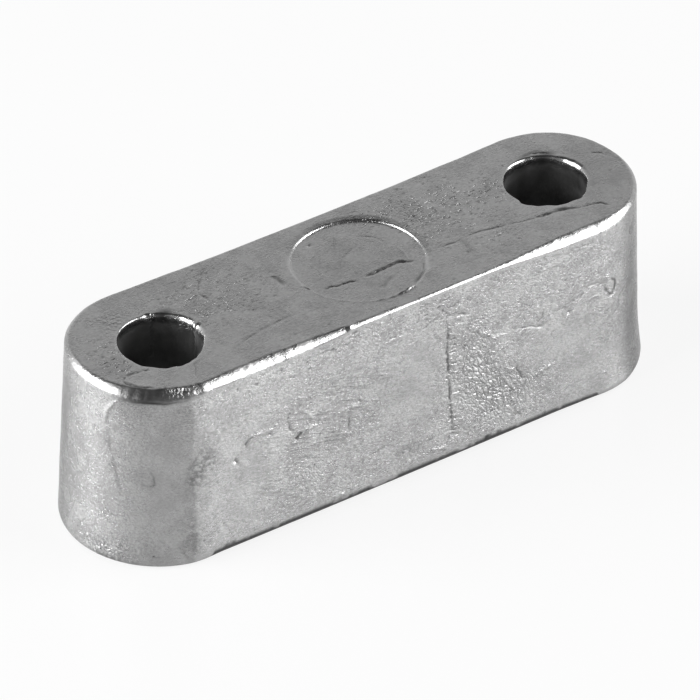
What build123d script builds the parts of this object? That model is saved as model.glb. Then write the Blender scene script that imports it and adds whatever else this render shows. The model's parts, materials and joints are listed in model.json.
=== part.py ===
from build123d import *
import os

# Sacrificial anode: a solid block of zinc alloy with two bolt holes.
#
# The block is poured in one piece around two core pins. It is a long bar with
# round ends, wider at the foot than at the top so that it drops out of its
# mould. It bolts flat against a hull, a bracket or an outboard leg, and there
# it corrodes in place of the metal it is bolted to.
#
# Millimetres. The origin is the centre of the mounting face, +X runs along the
# block from one bolt hole to the other, and +Z points away from the hull.

# Driving dimensions
bolt_pitch = 50.0  # centre to centre of the two bolt holes
bolt_hole_diameter = 9.0  # clearance hole for an M8 bolt
foot_width = 21.2  # across the walls, carried down to the mounting face
block_height = 22.4  # from the mounting face to the top face
draft_angle = 2.3  # degrees by which the walls lean in towards the top
top_edge_radius = 0.7  # soft edge where the metal cooled against the mould floor
foot_edge_radius = 0.9  # rounded arris around the mounting face
mouth_radius = 0.3  # rounding of the hole mouths in the top face
recess_diameter = 15.2  # round mark in the middle of the top face
recess_depth = 0.3
recess_wall_angle = 35.0  # degrees by which the wall of the mark leans outwards
recess_lip_radius = 0.15  # worn lip around the mark

# Planes that the features are drawn on
mounting_face = Plane.XY
top_face = Plane.XY.offset(block_height)

with BuildPart() as anode_block:
    # Drafted bar, whose round ends share their centres with the bolt holes
    with BuildSketch(mounting_face) as foot_outline:
        SlotCenterToCenter(bolt_pitch, foot_width)
    extrude(amount=block_height, taper=draft_angle)
    fillet(anode_block.edges().group_by(Axis.Z)[-1], top_edge_radius)
    fillet(anode_block.edges().group_by(Axis.Z)[0], foot_edge_radius)

    # Shallow round mark, with a wall that slopes down to a flat floor
    with BuildSketch(top_face) as recess_outline:
        Circle(recess_diameter / 2)
    extrude(amount=-recess_depth, taper=recess_wall_angle, mode=Mode.SUBTRACT)
    recess_lip = anode_block.edges(Select.LAST).group_by(Axis.Z)[-1]
    fillet(recess_lip, recess_lip_radius)

    # Bolt holes, left by core pins: rounded mouths on top, sharp edges at the foot
    with BuildSketch(top_face) as bolt_hole_outlines:
        with GridLocations(bolt_pitch, 0, 2, 1):
            Circle(bolt_hole_diameter / 2)
    extrude(amount=-block_height, mode=Mode.SUBTRACT)
    hole_edges = anode_block.edges(Select.LAST).filter_by(GeomType.CIRCLE)
    fillet(hole_edges.group_by(Axis.Z)[-1], mouth_radius)

anode_block.part.label = "anode_block"

os.makedirs("parts", exist_ok=True)
export_step(anode_block.part, "parts/anode_block.step")

overall_length = bolt_pitch + foot_width
print(f"length {overall_length:.1f} mm, volume {anode_block.part.volume / 1000:.2f} cm3")
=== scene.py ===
# %% [markdown]
# # A cast zinc anode, made to be seen from close by
# The real object is one lump of zinc alloy, poured into a metal mould around two pins. It bolts
# to a hull and corrodes in place of the hull. What the eye reads as "cast zinc" is a soft grey
# shine with cold laps where the metal folded as it froze, sunken edges, small gas pits and fine
# ripples. So this script spends nearly all of its work on one mesh and one metal.
#
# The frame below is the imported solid. Everything here sits on it, in metres, with +Z up.

# %% Load the frame
import json
import math

import bmesh
import bpy
import numpy as np
from mathutils import Matrix, Vector, kdtree, noise
from mathutils.geometry import delaunay_2d_cdt


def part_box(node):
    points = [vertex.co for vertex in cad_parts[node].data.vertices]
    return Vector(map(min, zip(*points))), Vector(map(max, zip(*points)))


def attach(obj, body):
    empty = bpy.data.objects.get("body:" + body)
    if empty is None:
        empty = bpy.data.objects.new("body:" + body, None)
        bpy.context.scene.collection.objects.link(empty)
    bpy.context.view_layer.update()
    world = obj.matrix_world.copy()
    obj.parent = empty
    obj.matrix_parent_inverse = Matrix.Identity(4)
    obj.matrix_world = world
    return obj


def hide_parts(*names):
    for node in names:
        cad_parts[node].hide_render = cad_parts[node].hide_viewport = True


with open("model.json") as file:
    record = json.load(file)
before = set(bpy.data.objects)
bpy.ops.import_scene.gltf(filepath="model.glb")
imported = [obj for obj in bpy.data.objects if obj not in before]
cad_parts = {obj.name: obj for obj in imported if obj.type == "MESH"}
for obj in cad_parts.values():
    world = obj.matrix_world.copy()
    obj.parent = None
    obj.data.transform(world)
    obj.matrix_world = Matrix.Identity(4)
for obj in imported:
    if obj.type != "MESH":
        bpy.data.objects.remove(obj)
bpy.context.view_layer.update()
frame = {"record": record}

MM = 0.001

# %% [markdown]
# ## Sizes of the casting
# The pitch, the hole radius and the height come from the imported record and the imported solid, so
# the skin always fits the frame. The other sizes repeat the mould: a wall that leans in by the
# draft angle, a soft top arris, a rounded foot and the round mark in the top.

# %% Sizes in millimetres
mounts = {mount["name"]: mount for mount in frame["record"]["mounts"]}
PITCH = mounts["bolt_holes"]["dims"]["spacing_x_mm"]
HOLE_R = mounts["bolt_holes"]["dims"]["hole_r_mm"]
HALF_PITCH = PITCH / 2
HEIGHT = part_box("anode_block")[1][2] / MM
FOOT_HALF = 10.6
DRAFT = math.radians(2.3)
TOP_EDGE_R = 0.7
FOOT_EDGE_R = 0.9
MOUTH_ROOM = 0.3  # room round a hole for the rounding of its mouth
RECESS_DEPTH = 0.3


def wall_half(height):
    """Half width of the block at a height, before its edges are rounded."""
    return FOOT_HALF - height * math.tan(DRAFT)


MID_HALF = wall_half(HEIGHT / 2)
print(f"block {PITCH + 2 * FOOT_HALF:.1f} x {2 * FOOT_HALF:.1f} x {HEIGHT:.1f} mm, holes {2 * HOLE_R:.1f} mm")

# %% [markdown]
# ## Camera
# A long lens from well back keeps the block's edges almost parallel, as parts look in a
# catalogue. A short lens close by would splay them. The camera is set by its azimuth, elevation
# and distance from a point inside the block.

# %% Camera
CAMERA_AZIMUTH = math.radians(-35.22)
CAMERA_ELEVATION = math.radians(37.21)
CAMERA_ROLL = math.radians(0.95)
CAMERA_DISTANCE = 787.9 * MM
CAMERA_TARGET = Vector((-0.41, 0.0, 10.48)) * MM
LENS_MM = 380.0


def add_object(name, data):
    """A new object in the scene, at the origin."""
    made = bpy.data.objects.new(name, data)
    bpy.context.collection.objects.link(made)
    return made


def heading(azimuth, elevation):
    """Direction from the block towards a point at that azimuth and elevation, 0 being -Y."""
    flat = math.cos(elevation)
    return Vector((math.sin(azimuth) * flat, -math.cos(azimuth) * flat, math.sin(elevation)))


def looking_from(place, target, roll=0.0):
    """World matrix of a camera or lamp at a place, turned towards a target."""
    turn = (place - target).to_track_quat("Z", "Y").to_matrix().to_4x4()
    return Matrix.Translation(place) @ turn @ Matrix.Rotation(roll, 4, "Z")


camera_data = bpy.data.cameras.new("camera")
camera_data.lens = LENS_MM
camera_data.sensor_width = 36.0
camera = add_object("camera", camera_data)
camera_place = CAMERA_TARGET + heading(CAMERA_AZIMUTH, CAMERA_ELEVATION) * CAMERA_DISTANCE
camera.matrix_world = looking_from(camera_place, CAMERA_TARGET, CAMERA_ROLL)
bpy.context.scene.camera = camera
print("camera at", [round(value, 3) for value in camera_place])

# %% [markdown]
# ## One helper for nodes
# Shader trees and geometry trees are built the same way: add a node, set it, fill its inputs
# with values or with the outputs of other nodes.


# %% Node helper
def node(tree, kind, inputs=(), out=0, **settings):
    """Adds a node and returns one of its outputs.

    `kind` is the type's name, where "ShaderNode" may be left off its front. `inputs` holds values or
    outputs of other nodes, as a dict from socket to value, or as a list that fills them in order.
    """
    made = tree.nodes.new(kind if "Node" in kind else "ShaderNode" + kind)
    for name, value in settings.items():
        setattr(made, name, value)
    for name, value in inputs.items() if isinstance(inputs, dict) else enumerate(inputs):
        if isinstance(value, bpy.types.NodeSocket):
            tree.links.new(value, made.inputs[name])
        else:
            made.inputs[name].default_value = value
    return made.outputs[out] if made.outputs else made


def blank_tree(owner):
    """The empty node tree of a world or a material."""
    owner.use_nodes = True
    owner.node_tree.nodes.clear()
    return owner.node_tree


def linear(hex_colour):
    """Linear RGBA of an sRGB colour such as '8C8D8E'."""
    parts = [int(hex_colour[i : i + 2], 16) / 255 for i in (0, 2, 4)]
    return [c / 12.92 if c <= 0.04045 else ((c + 0.055) / 1.055) ** 2.4 for c in parts] + [1.0]


# %% [markdown]
# ## Light
# Bright metal is a picture of the room around it. The room here is a plain one: a soft box low
# on the left, a soft box low on the right, a pale backdrop behind the block and a dim ceiling.
# The soft boxes draw the white lines along the rounded arrises, the ceiling draws the dark
# lines beside them, and the backdrop greys the flat top.
#
# The camera sees pure white behind the block, by the Light Path node. The metal sees the room
# instead, because a mirror in an all-white room is one flat tone with no shape in it.

# %% Soft boxes
LAMP_DISTANCE = 0.9  # in metres, as are the next two
LAMP_WIDTH = 0.75
LAMP_HEIGHT = 0.55
LAMP_ELEVATION = math.radians(26)


def softbox(name, azimuth, watts):
    """A rectangular area lamp at an azimuth in degrees, facing the middle of the block."""
    data = bpy.data.lights.new(name, "AREA")
    data.shape = "RECTANGLE"
    data.size = LAMP_WIDTH
    data.size_y = LAMP_HEIGHT
    data.energy = watts
    aim = heading(math.radians(azimuth), LAMP_ELEVATION)
    add_object(name, data).matrix_world = looking_from(aim * LAMP_DISTANCE, Vector((0, 0, 0)))


softbox("softbox_right", 52, 9.0)
softbox("softbox_left", -105, 14.0)

# %% World
CEILING_LEVEL = 0.1
FRONT_LEVEL = 0.2
BACKDROP_LEVEL = 0.67


def eye_rays(tree):
    """The Light Path outputs, and 1 where a ray comes from the camera or through glass."""
    rays = tree.nodes.new("ShaderNodeLightPath").outputs
    return rays, node(tree, "Math", [rays["Is Camera Ray"], rays["Is Transmission Ray"]],
                      operation="MAXIMUM")


world = bpy.data.worlds.new("studio")
bpy.context.scene.world = world
sky = blank_tree(world)
direction = node(sky, "TexCoord", out="Generated")
climb = node(sky, "SeparateXYZ", [direction], out="Z")
ceiling = node(sky, "MapRange", [climb, 0.6, 0.85, 1.0, CEILING_LEVEL], interpolation_type="SMOOTHSTEP")
away = heading(CAMERA_AZIMUTH + math.pi, 0)
facing = node(sky, "VectorMath", [direction, away], out="Value", operation="DOT_PRODUCT")
backdrop = node(sky, "MapRange", [facing, -0.4, 0.3, FRONT_LEVEL, BACKDROP_LEVEL],
                interpolation_type="SMOOTHSTEP")
foot_of_wall = node(sky, "MapRange", [climb, 0.1, 0.45, 1.05, 1.0])
level = ceiling
for part in (backdrop, foot_of_wall):
    level = node(sky, "Math", [level, part], operation="MULTIPLY")
room = node(sky, "Background", {"Color": linear("FFFFFF"), "Strength": level})
white = node(sky, "Background", {"Color": linear("FFFFFF"), "Strength": 1.0})
_, seen = eye_rays(sky)
mixed = node(sky, "MixShader", [seen, room, white])
node(sky, "OutputWorld", [mixed])
bpy.context.scene.view_settings.view_transform = "Standard"
print("world:", len(sky.nodes), "nodes")

# %% Floor
FLOOR_HALF = 3.0
FLOOR_DROP = 0.02 * MM
GLOW_TO_THE_EYE = 0.85  # the rest is lit card, which keeps the block's shadow
GLOW_IN_METAL = 0.2
floor_mesh = bpy.data.meshes.new("floor")
corners = [(x * FLOOR_HALF, y * FLOOR_HALF, -FLOOR_DROP) for x, y in ((-1, -1), (1, -1), (1, 1), (-1, 1))]
floor_mesh.from_pydata(corners, [], [(0, 1, 2, 3)])
floor = add_object("floor", floor_mesh)

paper = bpy.data.materials.new("satin_white_card")
tree = blank_tree(paper)
lit = node(tree, "BsdfPrincipled", {"Base Color": linear("D2D2D2"), "Roughness": 0.25})
glow = node(tree, "Emission", {"Color": linear("FFFFFF"), "Strength": 1.0})
rays, seen = eye_rays(tree)
share = node(tree, "Math", [seen, GLOW_TO_THE_EYE], operation="MULTIPLY")
share = node(tree, "Math", [rays["Is Glossy Ray"], GLOW_IN_METAL, share], operation="MULTIPLY_ADD")
mixed = node(tree, "MixShader", [share, lit, glow])
node(tree, "OutputMaterial", [mixed])
floor_mesh.materials.append(paper)
print("floor:", len(tree.nodes), "nodes in", paper.name)

# %% [markdown]
# ## Marks of the pour
# The mould is cool, so the first metal in starts to freeze before the last arrives. Where two
# tongues of metal meet too cold to join they leave a lap: a fine groove with one side standing a
# little proud. Where a skin wrinkles before the pressure of the metal flattens it, it leaves a
# ridge. Each mark here is a short line. On the top its points are (x, y). On the wall they are
# (a, z), where `a` runs round the block from the middle of the near side, and passes -25 and 25
# where the flat side turns into an end. All of it is in millimetres.
#
# A mark could be a bump in the material, but a lap is a real edge that shows in the outline of
# its own shadow, so it goes into the mesh, and the mesh gets rows of points along it.

# %% Laps, ridges and scratches
# Each row: height (minus for a groove), half width, step to the left of the line, points.
TOP_MARKS = [
    (-0.05, 0.1, 0.02, [(12.4, -3.3), (13.7, -3.35), (15.4, -3.7), (17.0, -3.95)]),
    (-0.03, 0.08, 0.01, [(8.7, -3.4), (9.8, -3.4), (10.8, -3.5), (11.8, -3.3)]),
    (-0.025, 0.08, 0.01, [(17.0, -3.95), (18.7, -4.4), (20.4, -4.7)]),
    (-0.1, 0.14, 0.03, [(20.2, -4.6), (21.7, -4.8), (23.3, -4.9), (24.2, -5.3), (25.5, -5.8)]),
    (-0.05, 0.09, 0.01, [(25.5, -5.8), (26.8, -6.0), (27.7, -6.4), (28.2, -7.1)]),
    (-0.06, 0.09, 0.02, [(-5.5, -2.5), (-4.8, -2.35), (-3.9, -2.7), (-3.3, -2.6), (-2.5, -2.8),
                         (-1.7, -3.1)]),
    (-0.11, 0.13, 0.03, [(-0.7, -2.9), (0.4, -2.9), (1.7, -2.8), (3.0, -2.7), (3.9, -2.8), (5.3, -3.5)]),
    (-0.05, 0.22, 0.0, [(-0.3, -5.6), (0.6, -5.0), (1.4, -4.6), (2.0, -4.4)]),
    (-0.07, 0.22, 0.0, [(-9.0, 2.4), (-8.9, 1.8), (-8.8, 1.0), (-8.8, 0.1)]),
    (-0.03, 0.3, 0.0, [(11.3, -3.6), (11.2, -4.7), (11.0, -6.3)]),
    (-0.09, 0.11, 0.0, [(-7.3, -1.2), (-6.9, -1.9)]),
    (-0.07, 0.12, 0.0, [(5.9, -4.3), (4.9, -5.5), (3.9, -6.2), (2.8, -6.75)]),
    (0.025, 0.09, 0.0, [(5.2, -0.6), (5.2, -1.7), (4.9, -2.7)]),
    (-0.025, 0.08, 0.0, [(0.3, 4.6), (0.1, 3.7), (-0.6, 2.9)]),
    (0.02, 0.09, 0.0, [(-4.5, 1.5), (-3.6, 2.9), (-2.2, 3.8)]),
    (-0.02, 0.08, 0.0, [(-2.5, -1.0), (-1.0, 0.9), (1.6, 2.2)]),
    (-0.025, 0.09, 0.0, [(2.6, 3.6), (3.9, 2.6), (4.6, 1.2)]),
    (0.02, 0.09, 0.0, [(-4.9, -0.6), (-3.8, 0.2), (-3.2, 1.2)]),
    (-0.08, 0.11, 0.04, [(-28.6, -4.2), (-29.8, -3.95), (-30.7, -3.7), (-31.4, -3.75)]),
    (-0.08, 0.1, 0.06, [(-31.4, -3.75), (-31.8, -4.1), (-32.0, -4.6), (-31.7, -5.3), (-31.1, -6.1),
                        (-29.9, -7.1)]),
    (-0.04, 0.1, 0.0, [(-29.8, -2.5), (-30.3, -2.7), (-31.0, -2.95)]),
    (0.03, 0.14, 0.0, [(-21.1, -4.85), (-22.1, -5.0), (-23.9, -5.5), (-24.9, -5.6)]),
    (-0.04, 0.16, -0.03, [(-14.2, 7.8), (-15.6, 6.3), (-17.3, 4.2)]),
    (-0.04, 0.14, -0.03, [(-17.3, 4.1), (-17.0, 3.1), (-16.8, 2.4)]),
    (-0.04, 0.1, 0.01, [(-24.2, -5.9), (-24.8, -6.9), (-25.4, -7.9)]),
    (-0.03, 0.14, 0.01, [(-19.9, -6.1), (-15.9, -5.0), (-10.3, -4.4)]),
    (-0.06, 0.1, 0.01, [(26.5, 5.2), (27.6, 4.7), (28.5, 4.0)]),
    (-0.05, 0.1, 0.01, [(32.0, 1.7), (32.7, 1.4), (33.2, 0.9)]),
    (-0.03, 0.1, 0.01, [(0.5, 4.9), (-0.1, 3.9), (-0.7, 2.8)]),
]
WALL_MARKS = [
    (0.13, 0.2, 0.06, [(-34.2, 21.4), (-35.2, 21.3), (-36.1, 20.3), (-36.7, 19.0), (-36.7, 17.0),
                       (-36.3, 14.6), (-36.0, 13.3), (-35.6, 11.9), (-35.0, 9.0)]),
    (-0.05, 0.12, 0.0, [(-31.7, 12.8), (-31.3, 11.8), (-31.4, 11.0), (-32.8, 11.1)]),
    (-0.05, 0.3, 0.0, [(-25.8, 15.0), (-26.6, 14.1), (-27.3, 12.8), (-28.0, 11.2)]),
    (0.1, 0.15, 0.0, [(-20.9, 13.9), (-19.9, 13.8), (-18.3, 13.7), (-17.3, 13.7), (-16.4, 13.9)]),
    (-0.09, 0.14, 0.0, [(-20.5, 12.5), (-20.6, 13.0), (-20.3, 13.4), (-19.6, 13.7)]),
    (-0.17, 0.15, 0.02, [(-14.5, 10.9), (-14.0, 11.3), (-13.5, 11.7)]),
    (0.13, 0.14, 0.0, [(-13.2, 11.5), (-12.1, 11.8), (-11.0, 11.6)]),
    (-0.08, 0.12, 0.0, [(-15.0, 14.9), (-15.3, 14.1), (-15.2, 13.2), (-14.9, 12.1)]),
    (0.07, 0.12, 0.0, [(-13.1, 14.2), (-12.5, 13.2), (-12.1, 12.6)]),
    (0.14, 0.15, 0.0, [(-7.6, 11.6), (-7.1, 11.9), (-6.4, 11.8)]),
    (-0.08, 0.12, 0.0, [(-7.6, 11.3), (-7.6, 10.2), (-7.7, 8.9)]),
    (-0.08, 0.14, 0.03, [(5.0, 18.6), (5.2, 16.2), (5.1, 14.0), (5.3, 10.0), (5.4, 7.3), (5.6, 5.0),
                         (5.7, 2.6)]),
    (-0.05, 0.11, 0.0, [(4.4, 18.8), (2.9, 18.4), (1.8, 17.9)]),
    (-0.05, 0.12, 0.0, [(-5.3, 4.8), (-3.8, 5.0), (-2.6, 5.4)]),
    (0.05, 0.14, 0.0, [(-3.3, 18.1), (-2.1, 18.2), (-0.8, 18.2), (0.4, 18.1)]),
    (0.08, 0.16, 0.0, [(2.4, 2.2), (4.0, 2.0), (4.9, 1.9)]),
    (0.08, 0.16, 0.0, [(-9.8, 1.6), (-8.1, 1.3)]),
    (-0.07, 0.14, -0.05, [(5.1, 18.4), (6.5, 18.0), (7.9, 17.7)]),
    (-0.05, 0.13, -0.03, [(5.7, 17.2), (7.2, 17.1)]),
    (0.1, 0.15, 0.0, [(8.9, 14.6), (9.9, 14.3), (10.6, 13.8), (11.2, 13.2), (11.9, 13.3), (12.7, 12.9)]),
    (-0.05, 0.12, -0.06, [(12.9, 13.8), (13.5, 13.4), (14.6, 13.1), (15.9, 12.9), (16.9, 12.6),
                          (18.6, 12.6)]),
    (-0.05, 0.12, -0.03, [(16.6, 13.0), (17.4, 13.6), (17.7, 14.6)]),
    (-0.05, 0.13, -0.06, [(18.5, 13.5), (20.6, 13.8), (21.7, 14.3), (22.6, 14.6), (23.6, 15.3),
                          (24.6, 15.3), (25.7, 14.9)]),
    (0.05, 0.12, 0.0, [(22.8, 13.6), (24.1, 13.6), (25.6, 13.8)]),
    (-0.12, 0.13, 0.0, [(25.7, 14.8), (26.1, 13.7), (26.7, 12.9), (27.2, 13.4), (27.3, 14.4),
                        (26.6, 15.3)]),
    (0.1, 0.16, 0.0, [(25.8, 15.5), (26.5, 15.7)]),
    (0.1, 0.17, 0.0, [(12.6, 8.8), (13.2, 8.4), (13.9, 8.2)]),
    (-0.09, 0.15, -0.05, [(13.9, 8.5), (14.3, 7.7), (14.8, 6.9), (15.4, 6.2)]),
    (0.12, 0.17, 0.03, [(16.3, 6.1), (17.4, 6.7), (18.8, 6.9)]),
    (-0.06, 0.12, 0.0, [(7.2, 13.0), (7.3, 13.6), (7.7, 13.9)]),
    (0.04, 0.12, 0.0, [(16.9, 19.7), (18.2, 19.8), (19.7, 20.0)]),
    (-0.05, 0.12, 0.0, [(27.2, 10.3), (28.0, 10.7), (28.4, 12.4)]),
]
# Short folds run off to both sides of the long vertical line, as on a page that was bent.
LONG_LINE_A = 5.3
FOLDS_FROM, FOLDS_TO, FOLD_STEP = 2.9, 16.5, 0.36
fold_dice = np.random.default_rng(7)
for height in np.arange(FOLDS_FROM, FOLDS_TO, FOLD_STEP):
    start = np.array([LONG_LINE_A, height]) + fold_dice.uniform(-0.15, 0.15, 2)
    for reach in (fold_dice.uniform(0.5, 1.6), -fold_dice.uniform(0.2, 0.6)):
        rise = fold_dice.uniform(-0.08, 0.065)
        WALL_MARKS.append((rise, 0.11, 0.0, [start, start + (reach, fold_dice.uniform(-0.3, 0.1))]))
MARKS = {"top": TOP_MARKS, "wall": WALL_MARKS}
# Single blow holes and dents: depth, radius, place.
DENTS = {
    "top": [(0.1, 0.14, (-2.5, 5.1))],
    "wall": [(0.3, 0.24, (-21.9, 11.4)), (0.06, 0.3, (-21.3, 10.6)), (0.12, 0.3, (14.2, 2.2)),
             (0.08, 0.2, (-20.3, 10.9)), (0.1, 0.16, (-17.6, 13.1)), (0.14, 0.2, (21.0, 13.0)),
             (0.16, 0.14, (-6.2, 12.3))],
}
print({face: (len(MARKS[face]), len(DENTS[face])) for face in MARKS}, "marks and dents")


# %% Follow a mark
MARK_STEP = 0.17
WANDER = 0.12


def fine_line(points):
    """Points along a smooth, slightly wandering curve through a mark's points."""
    corners = np.array(points, float)
    padded = np.vstack([2 * corners[0] - corners[1], corners, 2 * corners[-1] - corners[-2]])
    pieces = []
    for p0, p1, p2, p3 in zip(padded, padded[1:], padded[2:], padded[3:]):
        count = max(2, int(np.ceil(np.hypot(*(p2 - p1)) / MARK_STEP)))
        u = np.linspace(0, 1, count, endpoint=False)[:, None]
        pieces.append(0.5 * (2 * p1 + (p2 - p0) * u + (2 * p0 - 5 * p1 + 4 * p2 - p3) * u**2
                             + (3 * p1 - p0 - 3 * p2 + p3) * u**3))
    line = np.vstack([*pieces, corners[-1:]])
    wander = np.array([[noise.noise(Vector((x * 1.7, y * 1.7, k))) for k in (0.0, 9.0)] for x, y in line])
    return line + WANDER * wander


lines = {face: [fine_line(points) for *_, points in marks] for face, marks in MARKS.items()}


def ring(centre, radius, angle):
    """Points round a centre at the angles, at one radius or at a radius for each."""
    return np.array(centre) + np.c_[radius * np.cos(angle), radius * np.sin(angle)]


def rows_along(face):
    """Extra net points for one face: five rows along each mark and a few rings in each dent."""
    rows = []
    for (_, half, _, _), line in zip(MARKS[face], lines[face]):
        along = np.gradient(line, axis=0)
        left = np.c_[-along[:, 1], along[:, 0]] / np.hypot(*along.T)[:, None]
        rows += [line + left * half * offset for offset in (-1.8, -0.8, 0.0, 0.8, 1.8)]
    turn = np.arange(10) * math.pi / 5
    for _, radius, place in DENTS[face]:
        rows += [ring(place, radius * share, turn) for share in (0.4, 0.8, 1.3)]
    return np.vstack(rows)


extra = {face: rows_along(face) for face in ("top", "wall")}
print({face: len(points) for face, points in extra.items()}, "points along the marks")


# %% Distances between points
def gap_to(points, others):
    """Distance from each point to the nearest of the others."""
    nearby = kdtree.KDTree(len(others))
    for index, (x, y) in enumerate(others):
        nearby.insert((x, y, 0.0), index)
    nearby.balance()
    return np.array([nearby.find((x, y, 0.0))[2] for x, y in points])


# %% [markdown]
# ## The wall, unrolled
# The wall of the block is one profile carried round the line between the two hole centres.
# Unrolled, it is a plain rectangle: `s` runs round the block and `t` runs up the profile. Points
# are laid in that rectangle, closer together where more shows, joined by a Delaunay net, and
# then rolled back on to the block. A real casting has no constant edge radius, so the top
# arris and the foot are wide in one place and nearly sharp in another. A bevel on a slot outline
# would be quicker, but it gives one even edge, and rows of points where nothing shows.

# %% Lengths of the unrolled wall
slope = math.tan(DRAFT)
FOOT_RUN = FOOT_EDGE_R * (math.pi / 2 + DRAFT)
ARRIS_RUN = FOOT_RUN + HEIGHT - FOOT_EDGE_R - TOP_EDGE_R
PROFILE_LENGTH = ARRIS_RUN + TOP_EDGE_R * (math.pi / 2 - DRAFT)
ARC_LENGTH = math.pi * MID_HALF
TRACK_LENGTH = 2 * PITCH + 2 * ARC_LENGTH
NEAR_MIDDLE = HALF_PITCH + ARC_LENGTH + HALF_PITCH
print(f"unrolled wall {TRACK_LENGTH:.1f} x {PROFILE_LENGTH:.1f} mm")

# %% Edge radii round the block
# (a, radius) pairs, from the far side round the left end, along the near side, to the far side again.
ARRIS_RADII = [
    (-70, 0.6), (-50, 0.5), (-46, 0.45), (-43, 0.6), (-40, 0.7), (-36, 0.8), (-34, 0.95), (-28, 0.9),
    (-25, 0.85), (-21, 0.9), (-15, 0.85), (-10, 0.65), (-7.6, 0.5), (-7.2, 0.2), (-6.7, 0.4), (-3, 0.3),
    (2, 0.22), (11, 0.22), (14, 0.35), (16, 0.6), (20, 0.85), (25, 0.95), (28, 0.8), (29.5, 0.5), (34, 0.4),
    (50, 0.5), (70, 0.6),
]
# Above 1 the arris is flatter in its middle than an arc, and bends more at its two ends.
ARRIS_FLATNESS = 1.65
# Beyond this `a` on the far side the edges are even, so that both ends of the net meet there.
EVEN_FROM, EVEN_FADE = 80, 6
FOOT_RADII = [(-70, 0.8), (-42, 0.7), (-27, 0.7), (-24, 1.0), (20, 1.0), (26, 0.7), (40, 0.7), (70, 0.8)]


def wobble(along, size, seed):
    """Smooth noise from -1 to 1 along a line, with swells about `size` mm long."""
    return np.array([noise.noise(Vector((value / size, seed, 0.5))) for value in along])


def edge_radius(s, pairs, seed, uneven, ragged):
    """Radius of an edge at a distance s round the block, with the raggedness of a casting."""
    a = np.mod(s, TRACK_LENGTH) - NEAR_MIDDLE
    base = np.interp(a, *zip(*pairs))
    rough = np.clip((EVEN_FROM - np.abs(a)) / EVEN_FADE, 0, 1)
    return base * (1 + rough * (uneven * wobble(a, 2.6, seed) + ragged * wobble(a, 0.6, seed + 5)))


# %% Track round the block
def track(s):
    """Centre-line x and outward direction at a distance s round the block, from the middle of +Y."""
    s = np.mod(s, TRACK_LENGTH)
    bends = [0, HALF_PITCH, HALF_PITCH + ARC_LENGTH, NEAR_MIDDLE + HALF_PITCH, TRACK_LENGTH - HALF_PITCH,
             TRACK_LENGTH]
    x = np.interp(s, bends, [0, -HALF_PITCH, -HALF_PITCH, HALF_PITCH, HALF_PITCH, 0])
    turn = np.interp(s, bends, np.radians([90, 90, 270, 270, 450, 450]))
    return x, np.cos(turn), np.sin(turn)


def section(points):
    """Half width and height on the wall for (s, t) points, foot arc, drafted wall, top arc."""
    s, t = points.T
    low = edge_radius(s, FOOT_RADII, 3.0, uneven=0.0, ragged=0.02)
    high = edge_radius(s, ARRIS_RADII, 11.0, uneven=0.1, ragged=0.05)
    low_angle = np.interp(t, [0, FOOT_RUN], [-math.pi / 2, DRAFT])
    high_angle = np.interp(t, [ARRIS_RUN, PROFILE_LENGTH], [DRAFT, math.pi / 2])
    low_half = FOOT_HALF - slope * low - low / math.cos(DRAFT) + low * np.cos(low_angle)
    low_z = low + low * np.sin(low_angle)
    out, up = np.clip(np.cos(high_angle), 0, 1) ** ARRIS_FLATNESS, np.sin(high_angle) ** ARRIS_FLATNESS
    high_half = FOOT_HALF - slope * (HEIGHT - high) - high / math.cos(DRAFT) + high * out
    high_z = HEIGHT - high + high * up
    share = np.clip((t - FOOT_RUN) / (ARRIS_RUN - FOOT_RUN), 0, 1)
    return low_half + (high_half - low_half) * share, low_z + (high_z - low_z) * share


def roll_up(points):
    """Carries (s, t) points of the unrolled wall to the block."""
    x, out_x, out_y = track(points[:, 0])
    half, z = section(points)
    return np.c_[x + half * out_x, half * out_y, z]


# %% Nets of points
ROW_PER_SPACING = 0.866


def hex_fill(low, high, spacing):
    """Points of a triangular grid over a rectangle, kept off its border."""
    rows = max(1, round((high[1] - low[1]) / (spacing * ROW_PER_SPACING)))
    step_y = (high[1] - low[1]) / (rows + 1)
    columns = max(1, round((high[0] - low[0]) / spacing))
    step_x = (high[0] - low[0]) / columns
    grid = []
    for row in range(1, rows + 1):
        shift = 0.25 if row % 2 else 0.75
        x = low[0] + step_x * (np.arange(columns) + shift)
        grid.append(np.c_[x, np.full(columns, low[1] + step_y * row)])
    return np.concatenate(grid)


def net(points, rim=None, holes=()):
    """Delaunay net over points, kept inside a rim loop and outside the hole loops, where given."""
    loops = [] if rim is None else [rim, *holes]
    starts = np.cumsum([len(points)] + [len(loop) for loop in loops])
    rings = [list(range(start, start + len(loop))) for start, loop in zip(starts, loops)]
    edges = [pair for outer in rings[:1] for pair in zip(outer, outer[1:] + outer[:1])]
    laid = [Vector(point) for point in np.concatenate([points, *loops]).tolist()]
    verts, _, faces, _, _, around = delaunay_2d_cdt(laid, edges, rings[1:], 1 if loops else 0, 1e-6)
    kept = [face for face, holes_round_it in zip(faces, around) if not holes_round_it]
    return np.array([tuple(vert) for vert in verts]), np.array(kept)


# %% Wall net
# Spacing of the points in mm: on the near side and the left end, in wrinkles, and elsewhere.
FINE = 0.27
WRINKLED = 0.15
COARSE = 0.55
TOP_RIM_FINE = 0.24
FOOT_RIM_FINE, FOOT_RIM_COARSE = 0.45, 0.9
ROW_ROOM = 0.13  # no grid point comes closer than this to a row along a mark
FINE_FROM = HALF_PITCH + 0.22 * ARC_LENGTH
FINE_TO = NEAR_MIDDLE + HALF_PITCH + 0.62 * ARC_LENGTH


def stretches(fine, coarse):
    """Stretches of the way round the block with the spacing of points in each."""
    return (0, FINE_FROM, coarse), (FINE_FROM, FINE_TO, fine), (FINE_TO, TRACK_LENGTH, coarse)


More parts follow.
